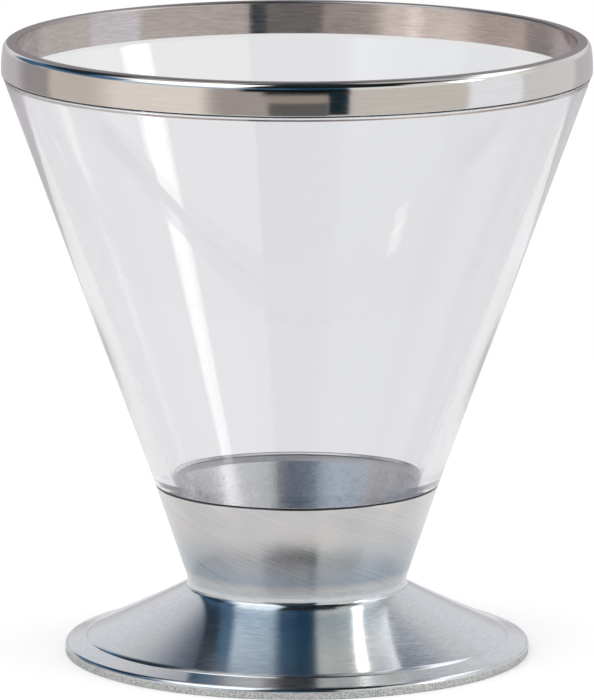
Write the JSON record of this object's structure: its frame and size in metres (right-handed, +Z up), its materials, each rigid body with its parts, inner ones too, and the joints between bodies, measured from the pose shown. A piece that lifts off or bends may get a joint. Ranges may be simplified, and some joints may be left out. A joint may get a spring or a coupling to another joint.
{
  "type": "cocktail glass",
  "caption": "Stemless cocktail glass: a clear conical bowl seated in a flared metal foot, with a metal band clasping its rim.",
  "frame": {"origin": "centre of the foot's resting ring, on the surface the glass stands on", "axes": "+Z up along the axis of revolution, from the foot towards the rim; +X and +Y are any pair square to it"},
  "size_m": [0.107, 0.107, 0.1127],
  "materials": {
    "clear_glass": "polished",
    "polished_metal": "polished outside, brushed inside",
    "turned_metal": "turned and satin polished, edge as cast",
    "black_seal": "matt"
  },
  "bodies": {
    "root": {"foot": "turned_metal", "foot_seal": "black_seal", "bowl": "clear_glass", "rim_seal": "black_seal", "rim_band": "polished_metal"}
  },
  "joints": []
}
